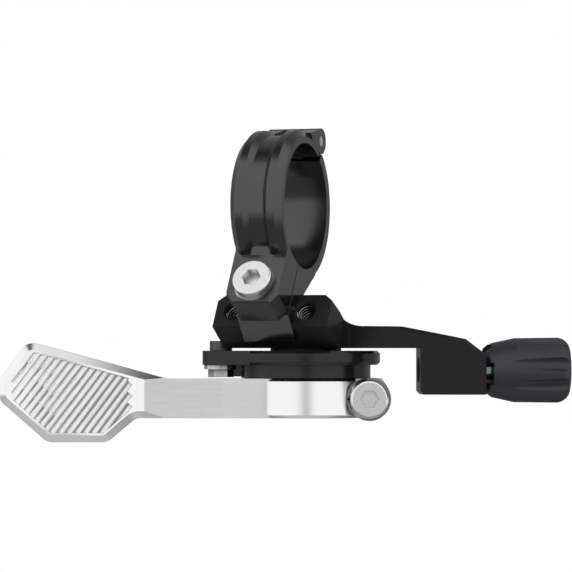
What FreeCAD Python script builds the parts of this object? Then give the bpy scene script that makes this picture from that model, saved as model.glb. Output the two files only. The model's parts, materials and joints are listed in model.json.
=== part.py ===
import FreeCAD, Part
import math
import os
import re
import Sketcher
from FreeCAD import Vector

# Dropper post remote lever for a 22.2 mm handlebar. Millimetres and degrees.
# The origin is the centre of the bar clamp's bore. +X runs along the handlebar, +Z is up
# and +Y points away from the rider's thumb side.

doc = FreeCAD.newDocument("DropperRemote")

# Driving dimensions. Depths below the bar's axis are positive numbers.

sizes = {
    # Bar clamp, drawn upright and then tilted about the bar
    "clamp_tilt": 32,
    "bore_radius": 11.1,
    "band_wall": 2.3,
    "band_width": 9.6,
    "band_bevel": 1.2,
    "groove_depth": 0.9,
    "groove_floor": 2.65,
    "parting": 2.0,
    "parting_gap": 0.35,
    "foot_front": 3.9,
    "foot_end": 22.6,
    "foot_corner_rise": 1.8,
    "foot_corner_run": 1.3,
    "foot_bevel": 0.3,
    "groove_ramp_top": 11.58,
    "groove_ramp_front": 4.72,
    "hinge_back": 0.77,
    "hinge_rise": 14.45,
    "hinge_radius": 2.3,
    "hinge_tongue": 3.2,
    "hinge_gap": 0.15,
    "pin_radius": 1.0,
    "pin_fit": 0.03,
    "pin_short": 0.1,
    "front_web_reach": 4.5,
    "front_web_foot": 2.5,
    "rear_web_reach": 5.0,
    "rear_web_foot": 3.5,
    "rear_web_brow": 1.4,
    "web_crown_drop": 0.25,
    "web_sink": 0.8,
    "web_root": 0.3,
    "rear_band_bevel": 0.6,
    "ear_back": 7.2,
    "ear_top_back": 10.7,
    "ear_top_drop": 7.3,
    "hook_end": 8.3,
    "hook_front_drop": 21.2,
    "hook_depth": 1.2,
    # Clamp bolt, M4 with a low head
    "bolt_drop": 18.5,
    "bolt_radius": 1.95,
    "bolt_core": 1.6,
    "bolt_hole": 2.2,
    "bolt_head_radius": 3.5,
    "bolt_head_height": 2.8,
    "bolt_length": 12.0,
    "bolt_rim": 0.25,
    "spot_radius": 3.75,
    "spot_depth": 1.0,
    "hex_key": 3.0,
    "hex_depth": 1.7,
    # Mounting block of the main body
    "block_face": 5.2,
    "block_facet": 21.8,
    "block_top": 15.7,
    "base_level": 25.0,
    "block_left": 10.1,
    "block_right": 11.2,
    "block_back": 14.0,
    "block_back_rise": 3.8,
    "block_back_run": 3.5,
    "block_bevel_run": 1.3,
    "block_bevel_rise": 1.0,
    "hole_pitch": 6.6,
    "tap_radius": 1.65,
    "tap_depth": 9.0,
    "tap_mouth": 0.35,
    # Pivot of the lever, and the hub and axle under the block
    "pivot_x": 2.55,
    "pivot_y": 6.25,
    "hub_radius": 6.3,
    "axle_fit": 0.02,
    "corner_sweep": 13.0,
    # Needle bearing, 12 x 18 x 4
    "bearing_bore": 6.0,
    "bearing_outside": 9.0,
    "bearing_width": 4.0,
    "bearing_top": 25.7,
    "race_wall": 1.0,
    "roller_play": 0.03,
    "roller_count": 14,
    "cage_wall": 0.4,
    "cage_height": 3.1,
    "cage_rim": 0.25,
    "seal_thickness": 0.25,
    "seal_inset": 0.1,
    "seal_play": 0.1,
    # Arm and cable block
    "arm_yaw": 24,
    "arm_start_x": 7.4,
    "arm_start_y": 8.0,
    "arm_kink_x": 24.45,
    "arm_front": 17.4,
    "arm_sweep": 45.0,
    "arm_back": 8.8,
    "arm_back_sweep": 30.0,
    "stop_left": 18.85,
    "stop_right": 30.15,
    "stop_wall": 4.25,
    "stop_bevel": 0.6,
    "shoulder_top": 16.8,
    "shoulder_top_x": 3.7,
    "shoulder_bevel": 1.1,
    "shoulder_brow_x": 5.35,
    "shoulder_brow": 18.7,
    "shoulder_x": 6.2,
    "shoulder_drop": 20.0,
    "shoulder_sweep": 5.0,
    "arm_flat_x": 9.7,
    "arm_top": 21.1,
    "arm_slope_x": 15.85,
    "arm_slope_end_x": 26.6,
    "arm_top_fall": 0.1,
    "arm_root_front": 3.0,
    "arm_root_back": 2.0,
    "arm_root_waist": 0.5,
    "arm_back_lead": 2.0,
    "arm_slope_end": 23.4,
    "arm_nose": 26.1,
    "arm_bevel": 0.55,
    "cable_side": 12.3,
    "cable_drop": 28.85,
    "stop_hole": 2.3,
    # Cable pulley
    "lever_yaw": 20,
    "flange_radius": 13.2,
    "flange_top": 25.45,
    "flange_bottom": 27.97,
    "flange_bevel": 0.5,
    "groove_radius": 11.5,
    "groove_bottom": 30.3,
    "collar_radius": 8.5,
    "collar_bore": 7.2,
    "collar_end": 37.2,
    "press_fit": 0.02,
    "anchor_reach": 15.26,
    "anchor_angle": 172.5,
    "lobe_radius": 3.3,
    "anchor_hole": 1.35,
    "anchor_room": 3.25,
    "anchor_web_reach": 1.0,
    "anchor_web_front": 1.5,
    "anchor_web_back": 4.2,
    "anchor_web_bottom": 30.05,
    # Cable anchor, M2.5
    "anchor_screw_radius": 1.22,
    "anchor_head_radius": 2.0,
    "anchor_head_height": 1.75,
    "anchor_key": 1.5,
    "anchor_key_depth": 1.0,
    "anchor_washer_radius": 3.0,
    "anchor_washer_thickness": 0.8,
    "anchor_nut_flats": 4.0,
    "anchor_nut_height": 1.4,
    # Bearing retainer
    "retainer_radius": 6.7,
    "retainer_thickness": 0.9,
    "retainer_hole": 2.1,
    "retainer_head_height": 2.4,
    "retainer_screw_length": 8.0,
    # Thumb lever
    "ring_fit": 0.05,
    "ring_radius": 11.5,
    "ring_top": 30.35,
    "ring_bottom": 37.3,
    "ring_bevel": 0.5,
    "arm_face": 9.05,
    "arm_root_face": 9.45,
    "arm_kink": 14.6,
    "arm_root_x": 9.4,
    "arm_thickness": 4.0,
    "lug_right": 14.6,
    "lug_front": 7.0,
    "lug_back": 6.5,
    "lug_corner_run": 1.2,
    "lug_corner_rise": 1.9,
    "lug_heel_run": 2.3,
    "lug_heel_rise": 3.3,
    "pinch_x": 11.1,
    "pinch_drop": 34.0,
    "pinch_spot": 4.0,
    "slot_width": 1.2,
    "slot_front": 1.6,
    "pinch_head_radius": 3.42,
    "pinch_length": 12.0,
    "pinch_rim": 0.5,
    # Paddle, as seen from the front
    "paddle_start": 28.4,
    "paddle_tip": 54.0,
    "paddle_thickness": 3.7,
    "dish_depth": 1.9,
    "paddle_top_x": 24.46,
    "crown_x": 49.15,
    "crown_drop": 23.74,
    "tip_upper_drop": 30.6,
    "tip_lower_drop": 34.1,
    "heel_left_x": 45.6,
    "heel_drop": 41.6,
    "heel_right_x": 35.05,
    "heel_end_x": 29.9,
    "paddle_round": 2.6,
    "paddle_bevel": 1.2,
    # Grip scallops of the paddle
    "scallop_count": 17,
    "scallop_pitch": 1.16,
    "scallop_angle": 53,
    "scallop_radius": 0.7,
    "scallop_depth": 0.34,
    "scallop_sweep": 16,
    "scallop_margin": 1.65,
    "field_right_x": 29.1,
    "field_middle": 33.0,
    # Barrel adjuster
    "thread_radius": 2.25,
    "barrel_tail": 8.5,
    "barrel_shoulder": 1.4,
    "barrel_core": 3.3,
    "barrel_bore": 1.0,
    "socket_radius": 2.55,
    "socket_depth": 7.5,
    "grip_gap": 0.1,
    "grip_length": 14.9,
    "grip_mouth": 4.0,
    "grip_neck": 4.62,
    "grip_neck_at": 0.9,
    "grip_waist": 5.62,
    "grip_waist_at": 5.45,
    "grip_radius": 5.7,
    "grip_end_run": 2.1,
    "grip_end_radius": 4.4,
    "grip_end_round": 2.3,
    "flute_radius": 1.4,
    "flute_spread": 19.5,
    "flute_turn": 8.5,
    "flute_start": 3.0,
    "flute_start_reach": 6.95,
    "flute_end_reach": 5.85,
    "notch_depth": 1.3,
    "notch_width": 3.8,
    "patch_height": 0.15,
    "patch_from": 0.2,
    "patch_length": 0.9,
    "patch_half_angle": 14,
}

sheet = doc.addObject("Spreadsheet::Sheet", "Sizes")
for row, (word, number) in enumerate(sizes.items(), start=1):
    sheet.set(f"A{row}", word)
    sheet.set(f"B{row}", str(number))
    sheet.setAlias(f"B{row}", word)
doc.recompute()


def bound(formula):
    """Point each size word of a formula at the sheet."""
    return re.sub(r"[a-z_]+", lambda word: "Sizes." + word[0] if word[0] in sizes else word[0], str(formula))


def value(formula):
    return float(sheet.evalExpression(bound(formula)))


def bind(item, prop, formula):
    item.setExpression(prop, bound(formula))


def make_body(label):
    body = doc.addObject("PartDesign::Body", label)
    body.Label = label
    return body


def place(body, x=0, y=0, z=0, turn_z=0, turn_y=0, turn_x=0):
    """Put a body at a point, turned about X, then Y, then Z."""
    spin = (f"rotation(vector(0; 0; 1); {turn_z}) * rotation(vector(0; 1; 0); {turn_y})"
            f" * rotation(vector(1; 0; 0); {turn_x})")
    bind(body, "Placement", f"placement(vector({x}; {y}; {z}); {spin})")


def make_sketch(body, name, plane, base=(0, 0, 0), axis=(0, 0, 1), angle=0):
    """A sketch on one of the body's own planes, moved and turned within that plane's frame."""
    sketch = body.newObject("Sketcher::SketchObject", name)
    origin_plane = [item for item in body.Origin.OriginFeatures if item.Role == plane][0]
    sketch.AttachmentSupport = [(origin_plane, "")]
    sketch.MapMode = "FlatFace"
    bind(sketch, "AttachmentOffset",
         f"placement(vector({base[0]}; {base[1]}; {base[2]});"
         f" rotation(vector({axis[0]}; {axis[1]}; {axis[2]}); {angle}))")
    return sketch


def arc_between(start, end, radius):
    """The short arc from start to end: to the left for a positive radius, else to the right."""
    middle = (start + end) * 0.5
    along = end - start
    side = Vector(-along.y, along.x, 0).normalize()
    height = math.sqrt(max(radius * radius - along.Length ** 2 / 4, 0))
    centre = middle + side * math.copysign(height, radius)
    first, last = (start, end) if radius > 0 else (end, start)
    angles = [math.atan2(point.y - centre.y, point.x - centre.x) for point in (first, last)]
    return Part.ArcOfCircle(Part.Circle(centre, Vector(0, 0, 1), abs(radius)), angles[0], angles[1])


def draw_outline(sketch, corners):
    """A closed outline. A third entry in a corner is the radius of the arc that leads to the next."""
    points = [Vector(value(corner[0]), value(corner[1]), 0) for corner in corners]
    edges = []
    for index, corner in enumerate(corners):
        start, end = points[index], points[(index + 1) % len(points)]
        if len(corner) == 3:
            radius = value(corner[2])
            edge = sketch.addGeometry(arc_between(start, end, radius))
            edges.append((edge, 1, 2) if radius > 0 else (edge, 2, 1))
            rule = sketch.addConstraint(Sketcher.Constraint("Radius", edge, abs(radius)))
            bind(sketch, f"Constraints[{rule}]", f"abs({corner[2]})")
        else:
            edges.append((sketch.addGeometry(Part.LineSegment(start, end)), 1, 2))
    for index, (edge, first, last) in enumerate(edges):
        following, following_first, _ = edges[(index + 1) % len(edges)]
        sketch.addConstraint(Sketcher.Constraint("Coincident", edge, last, following, following_first))
    for (edge, first, _), corner, point in zip(edges, corners, points):
        pin_point(sketch, edge, first, corner[0], corner[1], point)


def pin_point(sketch, edge, end, x, y, point):
    for kind, formula, number in (("DistanceX", x, point.x), ("DistanceY", y, point.y)):
        rule = sketch.addConstraint(Sketcher.Constraint(kind, -1, 1, edge, end, number))
        bind(sketch, f"Constraints[{rule}]", formula)


def draw_circle(sketch, x, y, radius):
    centre = Vector(value(x), value(y), 0)
    edge = sketch.addGeometry(Part.Circle(centre, Vector(0, 0, 1), value(radius)))
    pin_point(sketch, edge, 3, x, y, centre)
    rule = sketch.addConstraint(Sketcher.Constraint("Radius", edge, value(radius)))
    bind(sketch, f"Constraints[{rule}]", radius)


def draw_polygon(sketch, x, y, flats, sides=6):
    """A regular polygon with the given width across its flats, one corner towards +X."""
    reach = f"({flats}) / 2 / cos({180 / sides})"
    draw_outline(sketch, [(f"{x} + {reach} * cos({360 * side / sides})",
                           f"{y} + {reach} * sin({360 * side / sides})") for side in range(sides)])


def pad(body, sketch, length, both_ways=False, backwards=False):
    feature = body.newObject("PartDesign::Pad", "Pad")
    feature.Profile = sketch
    feature.SideType = "Symmetric" if both_ways else "One side"
    feature.Reversed = backwards
    bind(feature, "Length", length)
    return feature


def pocket(body, sketch, length=None, backwards=False):
    """Cut a sketch down into the body, or right through it both ways when no length is given."""
    feature = body.newObject("PartDesign::Pocket", "Pocket")
    feature.Profile = sketch
    feature.Reversed = backwards
    if length is None:
        feature.SideType = "Two sides"
        feature.Type = "ThroughAll"
        feature.Type2 = "ThroughAll"
    else:
        bind(feature, "Length", length)
    return feature


def turn_solid(body, sketch, axis="V_Axis", cut=False):
    feature = body.newObject("PartDesign::Groove" if cut else "PartDesign::Revolution", "Turned")
    feature.Profile = sketch
    feature.ReferenceAxis = (sketch, [axis])
    feature.Angle = 360
    return feature


def find_edges(feature, test):
    """Names of the edges of a feature whose middle point and direction pass a test."""
    doc.recompute()
    names = []
    for index, edge in enumerate(feature.Shape.Edges, start=1):
        middle = edge.valueAt((edge.FirstParameter + edge.LastParameter) / 2)
        along = edge.valueAt(edge.LastParameter) - edge.valueAt(edge.FirstParameter)
        if test(edge, middle, along):
            names.append(f"Edge{index}")
    return names


def ease(body, kind, size, test):
    """Chamfer or fillet the edges of the body's last feature that pass a test."""
    feature = body.Tip
    names = find_edges(feature, test)
    eased = body.newObject("PartDesign::" + kind, kind)
    eased.Base = (feature, names)
    bind(eased, "Radius" if kind == "Fillet" else "Size", size)
    doc.recompute()
    return eased


def near(number, formula, slack=0.01):
    return abs(number - value(formula)) < slack


# Bar clamp, in two halves hinged at the top

outer = "(bore_radius + band_wall)"
half_band = "band_width / 2"
bolt_turn = "90 - clamp_tilt"


def band_ring(body, bevel):
    """The grooved band all round the bar, turned about the bar's axis."""
    half_floor = "groove_floor / 2"
    sketch = make_sketch(body, "BandSection", "XZ_Plane")
    draw_outline(sketch, [
        (f"-{half_band}", "bore_radius"),
        (f"{half_band}", "bore_radius"),
        (f"{half_band}", f"{outer} - {bevel}"),
        (f"{half_band} - {bevel}", outer),
        (f"{half_floor} + groove_depth", outer),
        (half_floor, f"{outer} - groove_depth"),
        (f"-{half_floor}", f"{outer} - groove_depth"),
        (f"-{half_floor} - groove_depth", outer),
        (f"-{half_band} + {bevel}", outer),
        (f"-{half_band}", f"{outer} - {bevel}")])
    turn_solid(body, sketch, "H_Axis")


def side_outline(body, name, corners, width=None, cut=False, lift="0"):
    """An outline in the plane square to the bar, made across the band's width or cut through it."""
    sketch = make_sketch(body, name, "YZ_Plane", base=(0, 0, lift))
    draw_outline(sketch, corners)
    if cut:
        return pocket(body, sketch)
    return pad(body, sketch, width or "band_width", both_ways=width is None)


def knuckles(body, name, starts, width, web):
    """Hinge knuckles with the webs that carry them, from each start across the given width."""
    for index, start in enumerate(starts):
        sketch = make_sketch(body, f"{name}{index}", "YZ_Plane", base=(0, 0, start))
        draw_circle(sketch, "hinge_back", "hinge_rise", "hinge_radius")
        pad(body, sketch, width)
        side_outline(body, f"{name}Web{index}", web, width, lift=start)


def cut_cylinder_x(body, name, y, z, radius, start=None, width=None):
    sketch = make_sketch(body, name, "YZ_Plane", base=(0, 0, start or 0))
    draw_circle(sketch, y, z, radius)
    if width is None:
        pocket(body, sketch)
    else:
        pocket(body, sketch, width, backwards=True)


def cheek(sign):
    """Where an outer hinge knuckle starts, on the left or the right."""
    return f"-{half_band}" if sign < 0 else "hinge_tongue / 2 + hinge_gap"


beyond = f"(2 * {outer})"
cheek_width = f"{half_band} - hinge_tongue / 2 - hinge_gap"


def clamp_front():
    body = make_body("clamp_front")
    band_ring(body, "band_bevel")
    side_outline(body, "FrontParting", [
        ("parting", f"-{beyond}"),
        (beyond, f"-{beyond}"),
        (beyond, beyond),
        ("hinge_back", beyond),
        ("hinge_back", 0),
        ("parting", 0)], cut=True)
    foot = make_sketch(body, "Foot", "XZ_Plane", base=(0, 0, "-parting"))
    draw_outline(foot, [
        (f"-{half_band}", "-bore_radius"),
        (f"-{half_band}", "-foot_end + foot_corner_rise"),
        (f"-{half_band} + foot_corner_run", "-foot_end"),
        (f"{half_band} - foot_corner_run", "-foot_end"),
        (f"{half_band}", "-foot_end + foot_corner_rise"),
        (f"{half_band}", "-bore_radius")])
    pad(body, foot, "parting + foot_front")
    ramp_foot = f"-sqrt({outer} * {outer} - foot_front * foot_front)"
    side_outline(body, "GrooveRamp", [
        ("-foot_front", ramp_foot),
        ("-groove_ramp_front", "-groove_ramp_top"),
        ("-foot_front + 1", "-groove_ramp_top"),
        ("-foot_front + 1", ramp_foot)],
        "groove_floor + groove_depth", lift="-(groove_floor + groove_depth) / 2")
    knuckles(body, "FrontKnuckle", [cheek(-1), cheek(1)], cheek_width, [
        ("-front_web_reach", f"{outer} - web_sink"),
        ("-front_web_foot", "bore_radius + web_root"),
        ("hinge_back", "hinge_rise - hinge_radius"),
        ("hinge_back", "hinge_rise + hinge_radius"),
        ("hinge_back - 1", "hinge_rise + hinge_radius - web_crown_drop")])
    cut_cylinder_x(body, "TongueRoom", "hinge_back", "hinge_rise", "hinge_radius + hinge_gap",
                   "-hinge_tongue / 2 - hinge_gap", "hinge_tongue + 2 * hinge_gap")
    cut_cylinder_x(body, "Bore", 0, 0, "bore_radius")
    cut_cylinder_x(body, "PinHole", "hinge_back", "hinge_rise", "pin_radius + pin_fit")
    spot = make_sketch(body, "SpotFace", "XZ_Plane", base=(0, 0, "foot_front"))
    draw_circle(spot, 0, "-bolt_drop", "spot_radius")
    pocket(body, spot, "spot_depth")
    hole = make_sketch(body, "BoltHole", "XZ_Plane", base=(0, 0, "foot_front"))
    draw_circle(hole, 0, "-bolt_drop", "bolt_hole")
    pocket(body, hole, "foot_front + parting")
    ease(body, "Chamfer", "foot_bevel", lambda edge, middle, along: (
        near(middle.y, "-foot_front") and middle.z < value("-bolt_drop") - 2
        and edge.Length > 1 and abs(along.y) < 0.01))
    place(body, turn_x="-clamp_tilt")
    return body


def block_top_at(back):
    """Height of the block's level top in the clamp's tilted frame, a distance behind the bar."""
    return f"(-block_top + ({back}) * sin(clamp_tilt)) / cos(clamp_tilt)"


def clamp_rear():
    body = make_body("clamp_rear")
    band_ring(body, "rear_band_bevel")
    rear_start = "(hinge_back + hinge_radius / 2)"
    side_outline(body, "RearParting", [
        ("parting + parting_gap", f"-{beyond}"),
        (f"-{beyond}", f"-{beyond}"),
        (f"-{beyond}", beyond),
        (rear_start, beyond),
        (rear_start, 0),
        ("parting + parting_gap", 0)], cut=True)
    side_outline(body, "Ear", [
        ("parting + parting_gap", "-bore_radius - web_root"),
        ("parting + parting_gap", "-hook_front_drop"),
        ("hook_end", "-block_facet - hook_depth"),
        ("hook_end", "-block_facet"),
        ("block_face", "-block_facet"),
        ("block_face", block_top_at("block_face")),
        ("ear_back", block_top_at("ear_back")),
        ("ear_top_back", "-ear_top_drop")])
    knuckles(body, "RearKnuckle", ["-hinge_tongue / 2"], "hinge_tongue", [
        ("hinge_back", "hinge_rise + hinge_radius"),
        ("hinge_back", "hinge_rise - hinge_radius"),
        ("hinge_back + rear_web_foot", "bore_radius - web_root"),
        ("hinge_back + rear_web_reach", f"{outer} - web_sink - 0.5"),
        ("hinge_back + rear_web_brow", "hinge_rise + hinge_radius - 2 * web_crown_drop")])
    for side, start in (("Left", f"-{half_band} - 1"), ("Right", "hinge_tongue / 2")):
        cut_cylinder_x(body, f"KnuckleRoom{side}", "hinge_back", "hinge_rise", "hinge_radius + hinge_gap",
                       start, f"{half_band} - hinge_tongue / 2 + 1")
    cut_cylinder_x(body, "Bore", 0, 0, "bore_radius")
    cut_cylinder_x(body, "PinHole", "hinge_back", "hinge_rise", "pin_radius + pin_fit")
    hole = make_sketch(body, "BoltHole", "XZ_Plane", base=(0, 0, "-block_face"))
    draw_circle(hole, 0, "-bolt_drop", "bolt_hole")
    pocket(body, hole, "block_face - parting", backwards=True)
    place(body, turn_x="-clamp_tilt")
    return body


def hinge_pin():
    body = make_body("hinge_pin")
    sketch = make_sketch(body, "Pin", "YZ_Plane")
    draw_circle(sketch, "hinge_back", "hinge_rise", "pin_radius")
    pad(body, sketch, "band_width - pin_short", both_ways=True)
    place(body, turn_x="-clamp_tilt")
    return body


# Screws, drawn upright on their seat and then placed

def cap_screw(label, head_radius, head_height, rim, shank, core, shank_length, length, key, key_depth):
    """A cap screw standing on its seat at z = 0, its thread drawn at the core's diameter."""
    body = make_body(label)
    profile = make_sketch(body, "ScrewProfile", "XZ_Plane")
    draw_outline(profile, [
        (0, f"-({length})"),
        (core, f"-({length})"),
        (core, f"-({shank_length})"),
        (shank, f"-({shank_length})"),
        (shank, 0),
        (head_radius, 0),
        (head_radius, f"{head_height} - {rim}", rim),
        (f"{head_radius} - {rim}", head_height),
        (0, head_height)])
    turn_solid(body, profile)
    socket = make_sketch(body, "Socket", "XY_Plane", base=(0, 0, head_height))
    draw_polygon(socket, 0, 0, key)
    pocket(body, socket, key_depth)
    return body


def clamp_bolt():
    body = cap_screw("clamp_bolt", "bolt_head_radius", "bolt_head_height", "bolt_rim",
                     "bolt_radius", "bolt_core", "foot_front - spot_depth + block_face", "bolt_length",
                     "hex_key", "hex_depth")
    seat = "(foot_front - spot_depth)"
    place(body, 0, f"-{seat} * cos(clamp_tilt) - bolt_drop * sin(clamp_tilt)",
          f"{seat} * sin(clamp_tilt) - bolt_drop * cos(clamp_tilt)", turn_x=bolt_turn)
    return body


def in_frame(yaw, x, y):
    """A point of a frame that stands on the pivot and is yawed about it."""
    return (f"pivot_x + ({x}) * cos({yaw}) - ({y}) * sin({yaw})",
            f"pivot_y + ({x}) * sin({yaw}) + ({y}) * cos({yaw})")


def pinch_bolt():
    body = cap_screw("pinch_bolt", "pinch_head_radius", "bolt_head_height", "pinch_rim",
                     "bolt_radius", "bolt_core", "lug_front - slot_front + slot_width", "pinch_length",
                     "hex_key", "hex_depth")
    x, y = in_frame("lever_yaw", "pinch_x", "-lug_front")
    place(body, x, y, "-pinch_drop", turn_z="lever_yaw", turn_x=90)
    return body


def axle_screw():
    body = cap_screw("axle_screw", "bolt_head_radius", "retainer_head_height", "bolt_rim",
                     "bolt_radius", "bolt_core", "retainer_thickness", "retainer_screw_length",
                     "hex_key", "hex_depth")
    place(body, "pivot_x", "pivot_y", "-bearing_top - bearing_width - retainer_thickness", turn_x=180)
    return body


def anchor_place(body, z, turn_x=0):
    x, y = in_frame("(lever_yaw + anchor_angle)", "anchor_reach", 0)
    place(body, x, y, z, turn_z="lever_yaw", turn_x=turn_x)


anchor_grip = "(flange_bottom - flange_top + anchor_washer_thickness + anchor_nut_height)"


def anchor_screw():
    body = cap_screw("anchor_screw", "anchor_head_radius", "anchor_head_height", "bolt_rim",
                     "anchor_screw_radius", "anchor_screw_radius - 0.01", "1", f"{anchor_grip} - 0.1",
                     "anchor_key", "anchor_key_depth")
    anchor_place(body, "-flange_top")
    return body


def anchor_washer():
    body = make_body("anchor_washer")
    sketch = make_sketch(body, "Washer", "XY_Plane")
    draw_circle(sketch, 0, 0, "anchor_washer_radius")
    draw_circle(sketch, 0, 0, "anchor_hole")
    pad(body, sketch, "anchor_washer_thickness", backwards=True)
    anchor_place(body, "-flange_bottom")
    return body


def anchor_nut():
    body = make_body("anchor_nut")
    sketch = make_sketch(body, "Nut", "XY_Plane")
    draw_polygon(sketch, 0, 0, "anchor_nut_flats")
    draw_circle(sketch, 0, 0, "anchor_screw_radius + pin_fit")
    pad(body, sketch, "anchor_nut_height", backwards=True)
    anchor_place(body, "-flange_bottom - anchor_washer_thickness")
    return body


def axle_washer():
    body = make_body("axle_washer")
    sketch = make_sketch(body, "Retainer", "XY_Plane")
    draw_circle(sketch, 0, 0, "retainer_radius")
    draw_circle(sketch, 0, 0, "retainer_hole")
    pad(body, sketch, "retainer_thickness", backwards=True)
    place(body, "pivot_x", "pivot_y", "-bearing_top - bearing_width")
    return body


# Main body: the mounting block, the arm, the cable block, and the axle, milled from one piece

def turned_z(body, name, profile, cut=False):
    """A solid turned about the pivot, in a body whose frame is the bar's."""
    sketch = make_sketch(body, name, "XZ_Plane", base=("pivot_x", 0, "-pivot_y"))
    draw_outline(sketch, profile)
    turn_solid(body, sketch, cut=cut)


# Underside of the cable block
stop_bottom = "(cable_drop + stop_wall)"


def arm_plan(body):
    sketch = make_sketch(body, "ArmPlan", "XY_Plane",
                         base=("pivot_x", "pivot_y", f"-{stop_bottom}"), angle="arm_yaw")
    draw_outline(sketch, [
        (0, "-arm_start_y + arm_root_front"),
        ("arm_start_x", "-arm_start_y", "arm_sweep"),
        ("arm_kink_x", "-arm_front"),
        ("stop_right", "-arm_front"),
        ("stop_right", "-arm_back"),
        ("stop_left + arm_back_lead", "-arm_back", "-arm_back_sweep"),
        ("arm_start_x", "arm_root_waist"),
        (0, "arm_root_back")])
    pad(body, sketch, f"{stop_bottom} - block_top")


def arm_side(body):
    """Trim the arm and the block's end to their outline as seen from the side."""
    stand = {"base": ("pivot_x", 0, "-pivot_y"), "axis": (0, 1, 0), "angle": "arm_yaw"}
    above = make_sketch(body, "ArmTop", "XZ_Plane", **stand)
    draw_outline(above, [
        ("shoulder_top_x - shoulder_bevel", "-shoulder_top + shoulder_bevel"),
        ("shoulder_top_x", "-shoulder_top"),
        ("shoulder_brow_x", "-shoulder_brow"),
        ("shoulder_x", "-shoulder_drop", "shoulder_sweep"),
        ("arm_flat_x", "-arm_top"),
        ("arm_slope_x", "-arm_top - arm_top_fall"),
        ("arm_slope_end_x", "-arm_slope_end"),
        ("stop_right", "-arm_nose"),
        ("stop_right + 10", "-arm_nose"),
        ("stop_right + 10", 0),
        ("shoulder_top_x - shoulder_bevel", 0)])
    pocket(body, above)
    below = make_sketch(body, "ArmUnderside", "XZ_Plane", **stand)
    draw_outline(below, [
        (-30, "-base_level"),
        ("stop_left", "-base_level"),
        ("stop_left", f"-{stop_bottom} + stop_bevel"),
        ("stop_left + stop_bevel", f"-{stop_bottom}"),
        ("stop_left + stop_bevel", f"-{stop_bottom} - 5"),
        (-30, f"-{stop_bottom} - 5")])
    pocket(body, below)


def block_shape(body):
    face_y = "cos(clamp_tilt) * block_face - sin(clamp_tilt) * block_facet"
    face_z = "-sin(clamp_tilt) * block_face - cos(clamp_tilt) * block_facet"
    sketch = make_sketch(body, "BlockSide", "YZ_Plane", base=(0, 0, "-block_left"))
    draw_outline(sketch, [
        ("(block_face - block_top * sin(clamp_tilt)) / cos(clamp_tilt)", "-block_top"),
        (face_y, face_z),
        ("(-block_facet + cos(clamp_tilt) * base_level) / sin(clamp_tilt)", "-base_level"),
        ("block_back", "-base_level"),
        ("block_back", "-block_top - block_back_rise"),
        ("block_back - block_back_run", "-block_top")])
    pad(body, sketch, "block_left + block_right")
    for name, edge, sign in (("LeftBevel", "-block_left", 1), ("RightBevel", "block_right", -1)):
        corner = make_sketch(body, name, "XZ_Plane")
        draw_outline(corner, [
            (edge, "-block_top - block_bevel_rise"),
            (f"{edge} + {sign} * block_bevel_run", "-block_top"),
            (f"{edge} + {sign} * block_bevel_run", "-block_top + 1"),
            (f"{edge} - {sign}", "-block_top + 1"),
            (f"{edge} - {sign}", "-block_top - block_bevel_rise")])
        pocket(body, corner)
    back = make_sketch(body, "BackCorner", "XY_Plane", base=("pivot_x", "pivot_y", 0))
    reach = "(block_left + pivot_x)"
    side_y = f"sqrt(corner_sweep * corner_sweep - {reach} * {reach})"
    back_y = "(block_back - pivot_y)"
    back_x = f"-sqrt(corner_sweep * corner_sweep - {back_y} * {back_y})"
    draw_outline(back, [
        (f"-{reach}", side_y, "-corner_sweep"),
        (back_x, back_y),
        (back_x, f"{back_y} + 2"),
        (f"-{reach} - 2", f"{back_y} + 2"),
        (f"-{reach} - 2", side_y)])
    pocket(body, back)


def block_holes(body):
    """Three tapped holes square to the block's tilted face, so the lever can sit at three places."""
    sketch = make_sketch(
        body, "TappedHoles", "XZ_Plane",
        base=(0, "-block_face * sin(clamp_tilt)", "-block_face * cos(clamp_tilt)"),
        axis=(1, 0, 0), angle="-clamp_tilt")
    for step in (-1, 0, 1):
        draw_circle(sketch, f"{step} * hole_pitch", "-bolt_drop", "tap_radius")
    pocket(body, sketch, "tap_depth")
    tilt = math.radians(value("clamp_tilt"))
    normal = Vector(0, -math.cos(tilt), math.sin(tilt))
    ease(body, "Chamfer", "tap_mouth", lambda edge, middle, along: (
        edge.Curve.TypeId == "Part::GeomCircle" and near(edge.Curve.Radius, "tap_radius")
        and near(edge.Curve.Center.dot(normal), "-block_face")))


def main_body():
    body = make_body("main_body")
    arm_plan(body)
    block_shape(body)
    arm_side(body)
    ease(body, "Chamfer", "arm_bevel", is_arm_top_edge)
    turned_z(body, "Axle", [
        (0, "-base_level + 1"),
        ("hub_radius", "-base_level + 1"),
        ("hub_radius", "-bearing_top"),
        ("bearing_bore - axle_fit", "-bearing_top"),
        ("bearing_bore - axle_fit", "-bearing_top - bearing_width + 0.1"),
        (0, "-bearing_top - bearing_width + 0.1")])
    block_holes(body)
    axle_hole = make_sketch(body, "AxleHole", "XY_Plane",
                            base=("pivot_x", "pivot_y", "-bearing_top - bearing_width"))
    draw_circle(axle_hole, 0, 0, "tap_radius")
    pocket(body, axle_hole, "retainer_screw_length", backwards=True)
    cable = make_sketch(body, "StopHole", "YZ_Plane", axis=(0, 1, 0), angle="arm_yaw",
                        base=("pivot_y + (stop_left - 0.5) * sin(arm_yaw)", 0,
                              "pivot_x + (stop_left - 0.5) * cos(arm_yaw)"))
    draw_circle(cable, "-cable_side", "-cable_drop", "stop_hole")
    pocket(body, cable, "stop_right - stop_left + 5", backwards=True)
    return body


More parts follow.
